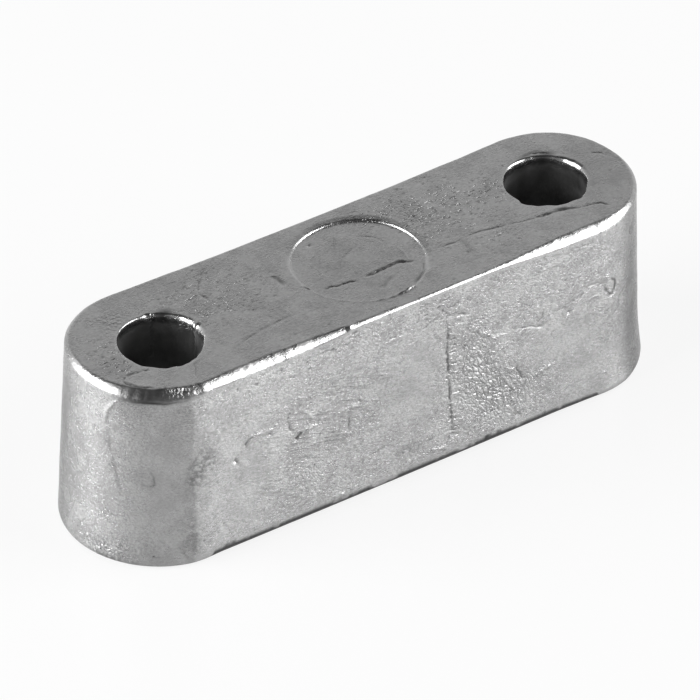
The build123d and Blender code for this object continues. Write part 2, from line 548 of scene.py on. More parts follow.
def stations(fine, coarse):
    """Distances round the block for the rings that the wall shares with the top and the foot."""
    parts = [np.linspace(start, end, round((end - start) / spacing), endpoint=False)
             for start, end, spacing in stretches(fine, coarse)]
    return np.concatenate(parts)


BELTS = (0, FOOT_RUN, 0.8), (FOOT_RUN, ARRIS_RUN, 1.0), (ARRIS_RUN, PROFILE_LENGTH, 0.6)
wall_grid = np.concatenate([hex_fill((start, low), (end, high), spacing * share)
                            for start, end, spacing in stretches(FINE, COARSE)
                            for low, high, share in BELTS])
# The (s, t) of the point where a and z are 0.
WALL_ORIGIN = NEAR_MIDDLE, FOOT_RUN - FOOT_EDGE_R
# Corners in (a, z) of the two wrinkled patches. Their points are close enough to carry the wrinkles.
WRINKLED_PATCHES = ((5.4, 3.0), (15.0, 17.6)), ((-43.2, 1.6), (-37.6, 20.4))
for low, high in WRINKLED_PATCHES:
    low, high = (np.array(corner) + WALL_ORIGIN for corner in (low, high))
    wall_grid = wall_grid[~((wall_grid > low) & (wall_grid < high)).all(axis=1)]
    wall_grid = np.concatenate([wall_grid, hex_fill(low, high, WRINKLED)])
wall_rows = extra["wall"] + WALL_ORIGIN
wall_grid = wall_grid[gap_to(wall_grid, wall_rows) > ROW_ROOM]
top_stations = stations(TOP_RIM_FINE, COARSE)
foot_stations = stations(FOOT_RIM_FINE, FOOT_RIM_COARSE)
seam = np.linspace(0, PROFILE_LENGTH, 50)[1:-1]
border = [np.c_[np.r_[top_stations, TRACK_LENGTH], np.full(len(top_stations) + 1, PROFILE_LENGTH)],
          np.c_[np.r_[foot_stations, TRACK_LENGTH], np.zeros(len(foot_stations) + 1)],
          np.c_[np.zeros(len(seam)), seam],
          np.c_[np.full(len(seam), TRACK_LENGTH), seam]]
wall_flat, wall_faces = net(np.concatenate([wall_grid, wall_rows, *border]))
wall_verts = roll_up(wall_flat)
print("wall:", len(wall_faces), "triangles")

# %% [markdown]
# ## Top, foot and bores
# The pins that leave the two holes were pulled out of half-set metal, so each mouth is drawn
# down more on one side than on the other. Cutting the holes with a boolean would leave them
# round and sharp. Here the mouth's radius changes round the hole instead, and both the top face
# and the bore take their shared ring from it.

# %% Hole mouths
# Hole centres as cast. Round each, from +X anticlockwise: (degrees, rounding of the lip, how far
# the hole is torn open at the mouth). A negative last value is metal that crept into the hole.
HOLE_CENTRES = ((-HALF_PITCH, -0.5), (HALF_PITCH, 0.25))
MOUTHS = (
    [(0, 0.75, 0), (3, 0.7, 0), (5, 0.15, 0), (8, 0.5, 0), (25, 0.5, 0), (39, 0.4, 0), (64, 0.35, 0),
     (68, 0.12, 0), (70, 0.45, 0), (76, 0.42, 0), (80, 0.2, 0), (110, 0.15, 0), (130, 0.1, 0), (170, 0.08, 0),
     (198, 0.08, 0.02), (210, 0.08, 0.2), (227, 0.08, 0.06), (242, 0.08, 0.28), (260, 0.1, 0.32),
     (276, 0.1, 0.28), (300, 0.12, 0.15), (325, 0.2, 0), (335, 0.5, 0), (348, 0.75, 0), (360, 0.75, 0)],
    [(0, 0.6, 0), (20, 0.55, 0), (35, 0.4, 0), (50, 0.28, 0), (70, 0.28, 0), (90, 0.32, 0), (112, 0.32, 0),
     (125, 0.15, 0), (140, 0.08, 0), (170, 0.08, 0.08), (190, 0.08, 0), (197, 0.08, 0.06), (203, 0.08, 0.4),
     (216, 0.08, 0.2), (226, 0.08, 0.1), (236, 0.08, -0.12), (241, 0.08, -0.12), (249, 0.08, 0.03),
     (276, 0.08, 0.06), (287, 0.08, 0.3), (302, 0.08, 0.2), (318, 0.08, 0), (330, 0.3, 0), (343, 0.5, 0),
     (360, 0.6, 0)],
)
LIP_DEPTH = 1.5  # of a lip, for each mm of its rounding
TEAR_DEPTH = 1.2
MOUTH_WAY = 2 * math.pi * (HOLE_R + MOUTH_ROOM)


def mouth(hole, angle):
    """Rounding of the lip and tear of one hole, at angles in radians."""
    degrees, lip, tear = zip(*MOUTHS[hole])
    rough = np.array([noise.noise(Vector((math.cos(t) * 6, math.sin(t) * 6, 4.0 + hole))) for t in angle])
    turned = np.degrees(angle) % 360
    return (np.interp(turned, degrees, lip) * (1 + 0.25 * rough),
            np.interp(turned, degrees, tear) * (1 + 0.5 * rough))


def full_turn(way, spacing):
    """Angles round a full turn, for points about one spacing apart on a way that long."""
    angle = np.arange(round(way / spacing))
    return angle * 2 * math.pi / len(angle)


def mouth_loop(hole, spacing, grow=0.0):
    """Ring of points round one hole, at its mouth or that much further out."""
    angle = full_turn(MOUTH_WAY, spacing)
    return ring(HOLE_CENTRES[hole], HOLE_R + sum(mouth(hole, angle)) + grow, angle)


def circle(centre, radius, spacing):
    """Points round a plain circle."""
    return ring(centre, radius, full_turn(2 * math.pi * radius, spacing))


def from_mouths(points):
    """Distance outwards from the nearer mouth ring, minus inside it."""
    gaps = []
    for hole, centre in enumerate(HOLE_CENTRES):
        x, y = (points - centre).T
        gaps.append(np.hypot(x, y) - HOLE_R - sum(mouth(hole, np.arctan2(y, x))))
    return np.min(gaps, axis=0)


def inside(points, half):
    """Those of the points that lie inside a slot shape with that half width, with the block's pitch."""
    beyond = np.maximum(np.abs(points[:, 0]) - HALF_PITCH, 0)
    return points[np.hypot(beyond, points[:, 1]) < half]


# %% Top face
TOP_SPACING = 0.225
MOUTH_SPACING = 0.25
COLLARS = 0.14, 0.3  # how far outside each mouth two more rings of points lie
MARK_CENTRE = (0.35, -0.15)
MARK_RINGS = [6.9, 7.02, 7.1, 7.16, 7.22, 7.28, 7.36, 7.44, 7.52, 7.62, 7.74, 7.88, 8.05, 8.22]
RING_ROOM, GRID_ROOM, RIM_ROOM = 0.1, 0.15, 0.2  # gaps between rings, grid points and the rim
FACE_REACH = HALF_PITCH + FOOT_HALF
NARROW = wall_half(HEIGHT)

grid = hex_fill((-FACE_REACH, -NARROW), (FACE_REACH, NARROW), TOP_SPACING)
top_rim = roll_up(np.c_[top_stations, np.full(len(top_stations), PROFILE_LENGTH)])[:, :2]
mouths = [mouth_loop(hole, MOUTH_SPACING) for hole in (0, 1)]
collars = [mouth_loop(hole, MOUTH_SPACING, grow) for hole in (0, 1) for grow in COLLARS]
mark_loops = [circle(MARK_CENTRE, radius, TOP_SPACING) for radius in MARK_RINGS]
from_mark = np.hypot(*(grid - MARK_CENTRE).T)
clear = (from_mark < MARK_RINGS[0] - RING_ROOM) | (from_mark > MARK_RINGS[-1] + RING_ROOM)
grid = grid[clear & (from_mouths(grid) > RING_ROOM)]
grid = grid[gap_to(grid, np.concatenate([top_rim, extra["top"], *mouths, *collars])) > GRID_ROOM]
grid = inside(grid, NARROW - RIM_ROOM)
drawn = np.concatenate([extra["top"], *mark_loops, *collars])
drawn = drawn[gap_to(drawn, np.concatenate([top_rim, *mouths])) > RING_ROOM]
top_flat, top_faces = net(np.concatenate([grid, drawn]), top_rim, mouths)
top_verts = np.c_[top_flat, np.full(len(top_flat), HEIGHT)]
print("top face:", len(top_faces), "triangles")

# %% Foot face
FOOT_SPACING = 0.8
FOOT_GRID_ROOM, FOOT_RIM_ROOM = 0.4, 1.2
grid = hex_fill((-FACE_REACH, -FOOT_HALF), (FACE_REACH, FOOT_HALF), FOOT_SPACING)
foot_rim = roll_up(np.c_[foot_stations, np.zeros(len(foot_stations))])[:, :2]
foot_loops = [circle(centre, HOLE_R, 2 * MOUTH_SPACING) for centre in HOLE_CENTRES]
foot_edges = np.concatenate([foot_rim, *foot_loops])
grid = grid[(gap_to(grid, foot_edges) > FOOT_GRID_ROOM) & (from_mouths(grid) > 0)]
grid = inside(grid, FOOT_HALF - FOOT_RIM_ROOM)
foot_flat, foot_faces = net(grid, foot_rim, foot_loops)
foot_verts = np.c_[foot_flat, np.zeros(len(foot_flat))]
print("foot face:", len(foot_faces), "triangles")


# %% Bores
MOUTH_RUN = 0.5
DETAIL_RUN = 5.0
BORE_RUN = MOUTH_RUN + HEIGHT
BORE_BELTS = (0.0, MOUTH_RUN, 0.16), (MOUTH_RUN, DETAIL_RUN, 0.32), (DETAIL_RUN, BORE_RUN, 0.75)


def bore_net(hole):
    """The rounded mouth and the straight wall of one bore, top to foot."""
    parts = [hex_fill((0, start), (MOUTH_WAY, end), spacing) for start, end, spacing in BORE_BELTS]
    for count, run in ((len(mouths[hole]), 0.0), (len(foot_loops[hole]), BORE_RUN)):
        parts.append(np.c_[np.linspace(0, MOUTH_WAY, count + 1), np.full(count + 1, run)])
    seam_runs = np.r_[np.linspace(0, DETAIL_RUN, 20), np.linspace(DETAIL_RUN, BORE_RUN, 26)[1:]][1:-1]
    parts += [np.c_[np.full(len(seam_runs), edge), seam_runs] for edge in (0, MOUTH_WAY)]
    flat, faces = net(np.concatenate(parts))
    angle = flat[:, 0] / MOUTH_WAY * 2 * math.pi
    lip, tear = mouth(hole, angle)
    bend = np.clip(flat[:, 1] / MOUTH_RUN, 0, 1) * math.pi / 2
    straight = np.clip((flat[:, 1] - MOUTH_RUN) / (BORE_RUN - MOUTH_RUN), 0, 1)
    sink = LIP_DEPTH * lip * (1 - np.cos(bend)) + (HEIGHT - LIP_DEPTH * lip) * straight
    radius = HOLE_R + lip - lip * np.sin(bend) + tear * np.exp(-sink / TEAR_DEPTH) * (1 - straight)
    return np.c_[ring(HOLE_CENTRES[hole], radius, angle), HEIGHT - sink], faces


bores = [bore_net(hole) for hole in (0, 1)]
print("bores:", sum(len(faces) for _, faces in bores), "triangles")

# %% [markdown]
# ## Press the marks in
# Every mark changes the height of the surface by a small amount that depends on the distance
# from its line. An image could carry that height too, but it would take a very large one to keep
# a groove of 0.1 mm sharp. One function serves both faces, because both are flat nets here.

# %% Relief of marks and dents
STEP_REACH = 0.45  # the raised side of a lap settles back over this distance
# The metal paints shade into the lap grooves, darker the deeper they are.
DARK_GROOVE = 0.1  # a groove this deep is as dark as one gets


def relief(points, face):
    """Height of the marks and dents above a flat net, and how deep in a groove each point is, 0 to 1."""
    total = np.zeros(len(points))
    groove = np.zeros(len(points))
    for (height, half, step, _), line in zip(MARKS[face], lines[face]):
        low, high = line.min(axis=0) - 1.0, line.max(axis=0) + 1.0
        near = np.flatnonzero(((points > low) & (points < high)).all(axis=1))
        best = np.full(len(near), 9.0)
        side = np.zeros(len(near))
        along = np.zeros(len(near))
        for index, (p, q) in enumerate(zip(line, line[1:])):
            way = q - p
            length = np.hypot(*way)
            to = points[near] - p
            share = np.clip(to @ way / length**2, 0, 1)
            gap = np.hypot(*(to - share[:, None] * way).T)
            closer = gap < best
            best[closer] = gap[closer]
            side[closer] = np.sign(way[0] * to[closer, 1] - way[1] * to[closer, 0])
            along[closer] = (index + share[closer]) / (len(line) - 1)
        fade = np.clip(np.minimum(along, 1 - along) * 5, 0, 1) ** 0.7
        uneven = 1 + 0.8 * wobble(along * len(line) * MARK_STEP, 0.6, height * 90 + len(line))
        bead = fade * uneven * height * np.exp(-((best / half) ** 2))
        total[near] += bead
        groove[near] = np.maximum(groove[near], np.clip(-bead / DARK_GROOVE, 0, 1))
        total[near] += fade * step * np.exp(-best / STEP_REACH) * (side > 0)
    for depth, radius, place in DENTS[face]:
        total -= depth * np.exp(-((np.hypot(*(points - place).T) / radius) ** 2))
    return total, groove


# %% Round mark
# The pin that pressed the mark left a steep step, a soft shoulder outside it that is widest on
# the far side, and a burr on the near side, given as (degrees, height).
STEEP_FROM = 7.15
STEEP_TO = 7.29
STEEP_SHARE = 0.6
SHOULDER_R = 7.6
SHOULDER_SPREAD = 0.42  # by this much further out on the far side
FAR_SIDE = math.radians(55)
BURR_R = 7.4
BURR_HALF = 0.12, 0.22  # on its inner side and on its outer side
BURR = [(0, 0.02), (205, 0.02), (222, 0.05), (250, 0.05), (254, 0.11), (259, 0.04), (264, 0.13), (268, 0.1),
        (273, 0.24), (280, 0.3), (286, 0.28), (289, 0.02), (360, 0.02)]
mark_offset = top_flat - MARK_CENTRE
mark_r = np.hypot(*mark_offset.T)
mark_angle = np.arctan2(mark_offset[:, 1], mark_offset[:, 0])
sunk = np.clip(np.cos(mark_angle - FAR_SIDE) + 0.3, 0, 1) ** 0.5
ragged = np.array([noise.noise(Vector((x * 1.6, y * 1.6, 2.0))) for x, y in mark_offset])
lip_r = SHOULDER_R + SHOULDER_SPREAD * sunk + 0.15 * ragged
steep = np.clip((mark_r - STEEP_FROM) / (STEEP_TO - STEEP_FROM), 0, 1)
gentle = np.clip((mark_r - STEEP_TO) / (lip_r - STEEP_TO), 0, 1)
ledge = (1 - STEEP_SHARE) * RECESS_DEPTH
burr = np.interp(np.degrees(mark_angle) % 360, *zip(*BURR)) * (1 + 0.5 * ragged)
recess = -RECESS_DEPTH + (RECESS_DEPTH - ledge) * steep + ledge * gentle * (1.15 - 0.15 * gentle)
recess += burr * np.exp(-(((mark_r - BURR_R) / np.where(mark_r < BURR_R, *BURR_HALF)) ** 2))
print(f"recess {-recess.min():.2f} mm deep, burr up to {recess.max():.2f} mm high")

# %% Press
EDGE_FADE = 0.6  # marks in the wall fade out this close to its top and foot
top_relief, top_groove = relief(top_flat, "top")
from_edges = np.minimum(from_mouths(top_flat) / 0.4, gap_to(top_flat, top_rim) / 0.3)
top_verts[:, 2] += recess + top_relief * np.clip(from_edges, 0, 1)
wall_points = wall_flat - WALL_ORIGIN
_, out_x, out_y = track(wall_flat[:, 0])
from_top, from_foot = PROFILE_LENGTH - wall_flat[:, 1], wall_flat[:, 1]
edge_fade = np.clip(from_top / EDGE_FADE, 0, 1) * np.clip(from_foot / EDGE_FADE, 0, 1)
wall_relief, wall_groove = relief(wall_points, "wall")
wall_verts[:, :2] += (wall_relief * edge_fade)[:, None] * np.c_[out_x, out_y]
print("deepest groove in the wall:", round(float(wall_relief.min()), 2), "mm")

# %% [markdown]
# ## Shape as cast
# The block is not quite what the mould is. Metal that froze late drew the far wall inwards at
# the top, and the foot of the right end flares where the two halves of the mould met. These are
# a few tenths of a millimetre, but they bend the long reflections. A lattice could be pulled to
# the same shape by hand. Three short formulas do it here, and each one says what it stands for.

# %% Pinch, flare and bulge
PINCH = 0.685
BULGE = 0.17
FLARE = 0.42
BEND_HALF = 34.7  # how far from the middle the pinch and the bulge reach


def as_cast(points):
    """Moves nominal points by the slow shrinkage and flare of the casting."""
    x, y, z = points.T.copy()
    level = np.clip(z / HEIGHT, 0, 1)
    middle = np.clip(1 - (x / BEND_HALF) ** 2, 0, 1)
    far = np.clip(y / NARROW, 0, 1) ** 2
    near = np.clip(-y / NARROW, 0, 1) ** 2
    y -= PINCH * middle * level**2 * far
    y -= BULGE * middle * (1 - level) ** 2 * near
    beyond = np.maximum(x - HALF_PITCH, 0)
    out = np.hypot(beyond, y) + 1e-9
    flare = FLARE * np.clip(1 - level / 0.3, 0, 1) ** 2 * np.clip(beyond / 4, 0, 1)
    flare *= np.clip(out / FOOT_HALF, 0, 1) ** 3
    return np.c_[x + flare * beyond / out, y + flare * y / out, z]


# %% [markdown]
# ## Where the skin is rough
# Some parts of the skin froze calmly and some did not. Painted masks would do, but they would tie
# the casting to an image and a layout. So each trait of the skin is a number on every mesh point,
# which the geometry tree and the metal both read:
#
# - `ripple` wrinkled skin, with painted shade along its creases, `lively` how far the waves lift it, and
#   `calm` where they don't;
# - `pitting` gas pits, with painted shade in them, and `groove` how deep in a lap the point lies, which the
#   metal darkens as painted shade;
# - `drag` lines where the metal slid along the mould;
# - a tone that paints shade where the room would be reflected darker, or below 0 a brighter reflection; grey
#   smudges, with painted shade along the front-left arris; and nearly black painted shade along the foot of
#   the near side and the front-left arris, with darker spots by the hole mouths;
# - `bore` inside the holes, darkened further down as painted shade.

# %% Traits of the skin
# Each zone: centre, half widths, strength. The wall uses (a, z) and the top (x, y).
ZONES = {
    "ripple": {
        "wall": [(8.6, 11.0, 2.4, 3.6, 1.2), (11.2, 6.0, 3.4, 3.4, 1.3), (9.0, 16.0, 3.6, 2.0, 0.5),
                 (17.0, 5.5, 4.0, 2.6, 0.6), (3.4, 9.0, 1.6, 7.0, 0.35), (-5.6, 10.0, 2.2, 2.6, 0.6),
                 (-40.5, 11.0, 3.2, 12.0, 0.45), (-36.5, 1.6, 3.0, 1.8, 1.3), (-36.4, 6.4, 0.9, 0.9, 1.0),
                 (-28.4, 22.6, 1.8, 0.7, 1.2), (-15.0, 5.0, 7.0, 3.5, 0.45)],
        "top": [(34.0, -0.5, 0.8, 3.0, 0.4), (9.5, 3.0, 2.0, 3.5, 0.5), (-27.5, 5.0, 2.0, 1.6, 0.8),
                (-18.5, 3.0, 4.0, 4.0, 0.2)],
    },
    "calm": {
        "wall": [(-30.0, 9.0, 3.6, 14.0, 0.8), (0.5, 12.0, 4.2, 5.0, 0.45), (-21.0, 8.0, 3.5, 9.0, 0.4),
                 (20.5, 10.0, 5.0, 3.0, 0.4), (24.0, 3.0, 4.0, 4.0, 0.3)],
        "top": [],
    },
    "drag": {
        "wall": [(-13.0, 11.0, 6.5, 4.5, 1.0), (-6.0, 14.5, 5.0, 2.5, 0.6), (-6.0, 9.0, 9.0, 6.0, 0.4),
                 (12.0, 17.0, 7.0, 3.0, 0.5), (-18.0, 5.0, 5.0, 3.5, 0.6), (20.0, 18.0, 5.0, 2.0, 0.4)],
        "top": [],
    },
    "pitting": {
        "wall": [(3.0, 19.6, 3.6, 1.6, 0.6), (-37.0, 1.6, 2.6, 1.6, 0.8), (-12.0, 20.6, 14.0, 1.0, 0.25),
                 (-29.0, 4.0, 4.0, 3.0, 0.1)],
        "top": [(-30.9, -0.2, 1.7, 2.6, 1.3), (-17.0, 2.8, 5.5, 4.0, 0.55), (8.6, 2.6, 1.6, 3.4, 1.0),
                (6.4, 5.6, 2.4, 1.0, 0.8), (13.0, 2.6, 4.0, 4.4, 0.55), (16.0, 1.5, 5.0, 3.4, 0.4),
                (18.2, 2.8, 3.4, 0.7, 1.0), (14.5, -5.5, 3.0, 1.4, 0.35)],
    },
    # Grey smudges, and painted shade in the last wall zone, along the top of the front-left arris.
    "tarnish_and_painted_shade": {
        "wall": [(-25.6, 12.8, 1.3, 2.6, 0.8), (-27.2, 11.5, 0.8, 1.6, 0.7), (-27.4, 4.2, 1.2, 2.8, 0.5),
                 (-36.0, 0.3, 4.0, 0.8, 0.7), (26.0, 11.6, 1.3, 0.8, 0.5), (25.9, 8.6, 0.9, 1.6, 0.45),
                 (14.2, 2.2, 0.5, 0.5, 0.7), (0.4, 3.6, 2.6, 0.8, 0.5), (-21.6, 9.6, 0.7, 1.6, 0.35),
                 (-31.0, 21.6, 5.0, 0.5, 0.5)],
        "top": [(-17.5, -0.5, 0.4, 5.0, 0.25), (26.6, 5.3, 1.4, 0.35, 0.9)],
    },
    # Painted reflection tone: painted shade where the room would be reflected darker, at the left and right
    # contours, low at the front of the left end, on the right of the top and over the round mark.
    "painted_reflection_tone": {
        "wall": [(-30.0, 2.5, 4.0, 2.0, 0.3), (30.8, 10.0, 2.0, 20.0, 1.8), (-44.5, 10.0, 1.5, 20.0, 0.5)],
        "top": [(29.5, -2.0, 5.0, 6.0, 0.8), (0.3, -0.2, 6.0, 6.0, 0.45)],
    },
    # Nearly black: painted shade along the front-left arris on the wall; on the top, darker spots by the two
    # hole mouths.
    "painted_shade_and_dark_spots": {
        "wall": [(-32.7, 22.2, 3.2, 0.8, 1.05), (-30.8, 21.5, 3.4, 0.14, 0.8)],
        "top": [(-22.1, 3.2, 0.95, 0.7, 1.0), (27.6, 4.1, 1.3, 0.5, 0.8)],
    },
}
# (a, tone) pairs along the wall for the painted reflection tone round the left end: above 0 painted shade,
# minus where a brighter reflection is painted.
PAINTED_END_TONE = [(-44, 0), (-42, -0.6), (-38.5, -0.7), (-37, 0), (-34.5, 0.8), (-27.2, 0.85), (-26.7, -0.5),
          (-16, -0.45), (-11, 0)]


def trait(name, points, face):
    """Strength of a trait over a flat net."""
    total = np.zeros(len(points))
    for x, y, half_x, half_y, strength in ZONES[name][face]:
        total += strength * np.exp(-(((points - (x, y)) / (half_x, half_y)) ** 2).sum(axis=1))
    return total


def painted_foot_shade(points):
    """Painted shade: a dark line along the foot of the flat near side, where the foot would reflect the floor
    in the block's shadow.
    """
    a, z = points.T
    reach = np.clip((25.5 - np.abs(a)) / 0.6, 0, 1) * np.interp(a, [-25, -5, 16, 25], [1.1, 0.8, 1.05, 0.7])
    return np.clip((reach * (1 + 0.35 * wobble(a, 2.4, 27.0) + 0.2 * wobble(a, 0.7, 21.0)) - z) / 0.12, 0, 1)


def painted_end_tone(points):
    """Painted reflection tone round the left end: a darker column at its front, hard up against a brighter
    side.
    """
    a, z = points.T
    return np.interp(a + 0.6 * wobble(z, 4.0, 31.0), *zip(*PAINTED_END_TONE))


# %% Traits of every point
LIVELY_TOP = 0.34
nets = [(wall_verts, wall_faces), (top_verts, top_faces), (foot_verts, foot_faces), *bores]
blank = [np.zeros(len(verts)) for verts, _ in nets[2:]]
lips = [(verts[:, :2], np.clip((verts[:, 2] - HEIGHT + 1.5) / 0.5, 0, 1)) for verts, _ in bores]
traits = {name: np.concatenate([trait(name, wall_points, "wall"), trait(name, top_flat, "top"), blank[0],
                                *(trait(name, points, "top") * share for points, share in lips)])
          for name in ZONES}
# Painted reflection tone round the left end.
traits["painted_reflection_tone"][: len(wall_points)] += painted_end_tone(wall_points)
# Painted shade along the foot of the near side.
traits["painted_shade_and_dark_spots"][: len(wall_points)] += painted_foot_shade(wall_points)
traits["groove"] = np.concatenate([wall_groove, top_groove, *blank])
low = np.clip((wall_flat[:, 1] - 0.9) / 1.4, 0, 1)
high = np.clip((ARRIS_RUN + 0.3 - wall_flat[:, 1]) / 0.9, 0.25, 1)
near_rim = np.clip(from_mouths(top_flat) / 0.5, 0.1, 1)
traits["lively"] = np.concatenate([low * high, LIVELY_TOP * near_rim, *blank])
traits["lively"] *= 1 - np.clip(traits["calm"], 0, 0.85)
down_the_bores = [np.clip((HEIGHT - 0.7 - verts[:, 2]) / 0.6, 0, 1) for verts, _ in bores]
traits["bore"] = np.concatenate([np.zeros(len(wall_points) + len(top_flat)), blank[0], *down_the_bores])
print({name: round(float(np.mean(values)), 3) for name, values in traits.items()})


# %% Weld the casting
def weld(parts, traits, name):
    """One closed mesh from nets that share their rim points, with the traits as attributes."""
    mesh_out = bpy.data.meshes.new(name)
    verts = as_cast(np.concatenate([part[0] for part in parts]))
    starts = np.cumsum([0] + [len(part[0]) for part in parts])
    faces = np.concatenate([part[1] + start for part, start in zip(parts, starts)])
    mesh_out.from_pydata((verts * MM).tolist(), [], faces.tolist())
    for trait_name, values in traits.items():
        kept = mesh_out.attributes.new(trait_name, "FLOAT", "POINT")
        kept.data.foreach_set("value", values.astype(np.float32))
    shell = bmesh.new()
    shell.from_mesh(mesh_out)
    bmesh.ops.remove_doubles(shell, verts=shell.verts, dist=0.002 * MM)
    bmesh.ops.recalc_face_normals(shell, faces=shell.faces)
    open_edges = sum(len(edge.link_faces) != 2 for edge in shell.edges)
    volume = shell.calc_volume() / MM**3
    shell.to_mesh(mesh_out)
    shell.free()
    print(f"{name}: {len(mesh_out.polygons)} triangles, {open_edges} open edges, {volume / 1000:.2f} cm3")
    return mesh_out


block_mesh = weld(nets, traits, "cast_block")

# %% [markdown]
# ## The skin of the casting
# Waves, wrinkles and gas pits follow one rule each and cover the whole block, so a Geometry
# Nodes tree makes them. Noise on the position, in millimetres, moves each point along its
# normal, and `lively` says by how much. The wrinkles are the cells of a Voronoi pattern, domed
# between their creases. The pits are points scattered on the faces, denser where `pitting` is
# high, and every mesh point sinks by how near it is to its nearest pit. The pits are stretched
# along X, because gas was dragged along with the metal.

# %% Slanting cells
SLANT = math.radians(59)
STRETCH = 0.42
DRIFT_MM = 0.9


def creases(tree, mm, per_mm):
    """Distance to the nearest crease of bent, slanting cells, in cell widths, in either kind of tree."""
    turned = node(tree, "VectorRotate", {"Vector": mm, "Angle": -SLANT}, rotation_type="Y_AXIS")
    slim = node(tree, "VectorMath", [turned, (STRETCH, 1.0, 1.0)], operation="MULTIPLY")
    drift = node(tree, "TexNoise", {"Vector": slim, "Scale": 0.9, "Detail": 1.0}, out="Color")
    drift = node(tree, "VectorMath", {0: drift, "Scale": DRIFT_MM}, operation="SCALE")
    bent = node(tree, "VectorMath", [slim, drift], operation="ADD")
    return node(tree, "TexVoronoi", {"Vector": bent, "Scale": per_mm}, out="Distance",
                feature="DISTANCE_TO_EDGE")


# %% Inputs of the geometry tree
skin = bpy.data.node_groups.new("cast skin", "GeometryNodeTree")
skin.interface.new_socket("Geometry", in_out="INPUT", socket_type="NodeSocketGeometry")
skin.interface.new_socket("Geometry", in_out="OUTPUT", socket_type="NodeSocketGeometry")
SKIN = {
    "Wave Size": 3.4, "Wave Depth": 0.04, "Dapple Size": 1.1, "Dapple Depth": 0.02, "Wrinkle Size": 0.42,
    "Wrinkle Depth": 0.04, "Pit Radius": 0.13, "Pit Depth": 0.03, "Pits per mm2": 3.4,
}
kinds = dict.fromkeys(SKIN, "Float") | {"Seed": "Int", "Metal": "Material"}
keys = {name: skin.interface.new_socket(name, in_out="INPUT", socket_type=f"NodeSocket{kind}").identifier
        for name, kind in kinds.items()}
given = skin.nodes.new("NodeGroupInput").outputs
felt = {name: node(skin, "GeometryNodeInputNamedAttribute", {"Name": name}, out="Attribute",
                   data_type="FLOAT") for name in ("lively", "ripple", "pitting", "bore")}
print("inputs of the skin:", ", ".join(keys))

# %% Waves and dapples
place = node(skin, "GeometryNodeInputPosition")
in_mm = node(skin, "VectorMath", {0: place, "Scale": 1 / MM}, operation="SCALE")
risen = 0.0
for swell, detail in (("Wave", 1.0), ("Dapple", 2.0)):
    per_mm = node(skin, "Math", [1.0, given[f"{swell} Size"]], operation="DIVIDE")
    noisy = node(skin, "TexNoise", {"Vector": in_mm, "Scale": per_mm, "Detail": detail})
    centred = node(skin, "MapRange", [noisy, 0.0, 1.0, -1.0, 1.0])
    risen = node(skin, "Math", [centred, given[f"{swell} Depth"], risen], operation="MULTIPLY_ADD")
risen = node(skin, "Math", [risen, felt["lively"]], operation="MULTIPLY")

# %% Wrinkles
per_mm = node(skin, "Math", [1.0, given["Wrinkle Size"]], operation="DIVIDE")
to_crease = creases(skin, in_mm, per_mm)
dome = node(skin, "MapRange", [to_crease, 0.0, 0.3, -1.0, 0.0], interpolation_type="SMOOTHSTEP")
crease = node(skin, "Math", [dome, felt["ripple"]], operation="MULTIPLY")
risen = node(skin, "Math", [crease, given["Wrinkle Depth"], risen], operation="MULTIPLY_ADD")

# %% Pits
PITTING_EVERYWHERE = 0.008
PIT_LENGTH = 1 / 0.38  # of a pit along X, in widths
SMALLEST_PIT = 0.35
per_m2 = node(skin, "Math", [felt["pitting"], PITTING_EVERYWHERE], operation="ADD")
outside = node(skin, "Math", [1.0, felt["bore"]], operation="SUBTRACT")
for factor in (given["Pits per mm2"], MM**-2, outside):
    per_m2 = node(skin, "Math", [per_m2, factor], operation="MULTIPLY")
pits = node(skin, "GeometryNodeDistributePointsOnFaces",
            {"Mesh": given["Geometry"], "Density": per_m2, "Seed": given["Seed"]}, distribute_method="RANDOM")
nearest = node(skin, "GeometryNodeSampleNearest", {"Geometry": pits, "Sample Position": place})
centre = node(skin, "GeometryNodeSampleIndex", {"Geometry": pits, "Value": place, "Index": nearest},
              out="Value", data_type="FLOAT_VECTOR")
dice = node(skin, "FunctionNodeRandomValue", {2: SMALLEST_PIT, 3: 1.0, "Seed": given["Seed"]}, out=1,
            data_type="FLOAT")
size = node(skin, "GeometryNodeSampleIndex", {"Geometry": pits, "Value": dice, "Index": nearest},
            out="Value", data_type="FLOAT")
gap = node(skin, "VectorMath", [place, centre], operation="SUBTRACT")
gap = node(skin, "VectorMath", [gap, (1 / PIT_LENGTH / MM, 1 / MM, 1 / MM)], operation="MULTIPLY")
gap = node(skin, "VectorMath", [gap], out="Value", operation="LENGTH")
reach = node(skin, "Math", [given["Pit Radius"], size], operation="MULTIPLY")
bowl = node(skin, "MapRange", [gap, 0.0, reach, 1.0, 0.0], interpolation_type="SMOOTHSTEP")
sunken = bowl
for factor in (size, given["Pit Depth"]):
    sunken = node(skin, "Math", [sunken, factor], operation="MULTIPLY")

# %% Move the points and clad the mesh
height = node(skin, "Math", [risen, sunken], operation="SUBTRACT")
height = node(skin, "Math", [height, MM], operation="MULTIPLY")
normal = node(skin, "GeometryNodeInputNormal")
move = node(skin, "VectorMath", {0: normal, "Scale": height}, operation="SCALE")
# The pit bowls are kept as an attribute, from which the metal paints shade into the pits.
shape = node(skin, "GeometryNodeStoreNamedAttribute",
             {"Geometry": given["Geometry"], "Name": "pit", "Value": bowl}, data_type="FLOAT", domain="POINT")
shape = node(skin, "GeometryNodeSetPosition", {"Geometry": shape, "Offset": move})
shape = node(skin, "GeometryNodeRealizeInstances", {"Geometry": shape})
shape = node(skin, "GeometryNodeSetMaterial", {"Geometry": shape, "Material": given["Metal"]})
node(skin, "NodeGroupOutput", [shape])
print("skin tree:", len(skin.nodes), "nodes")
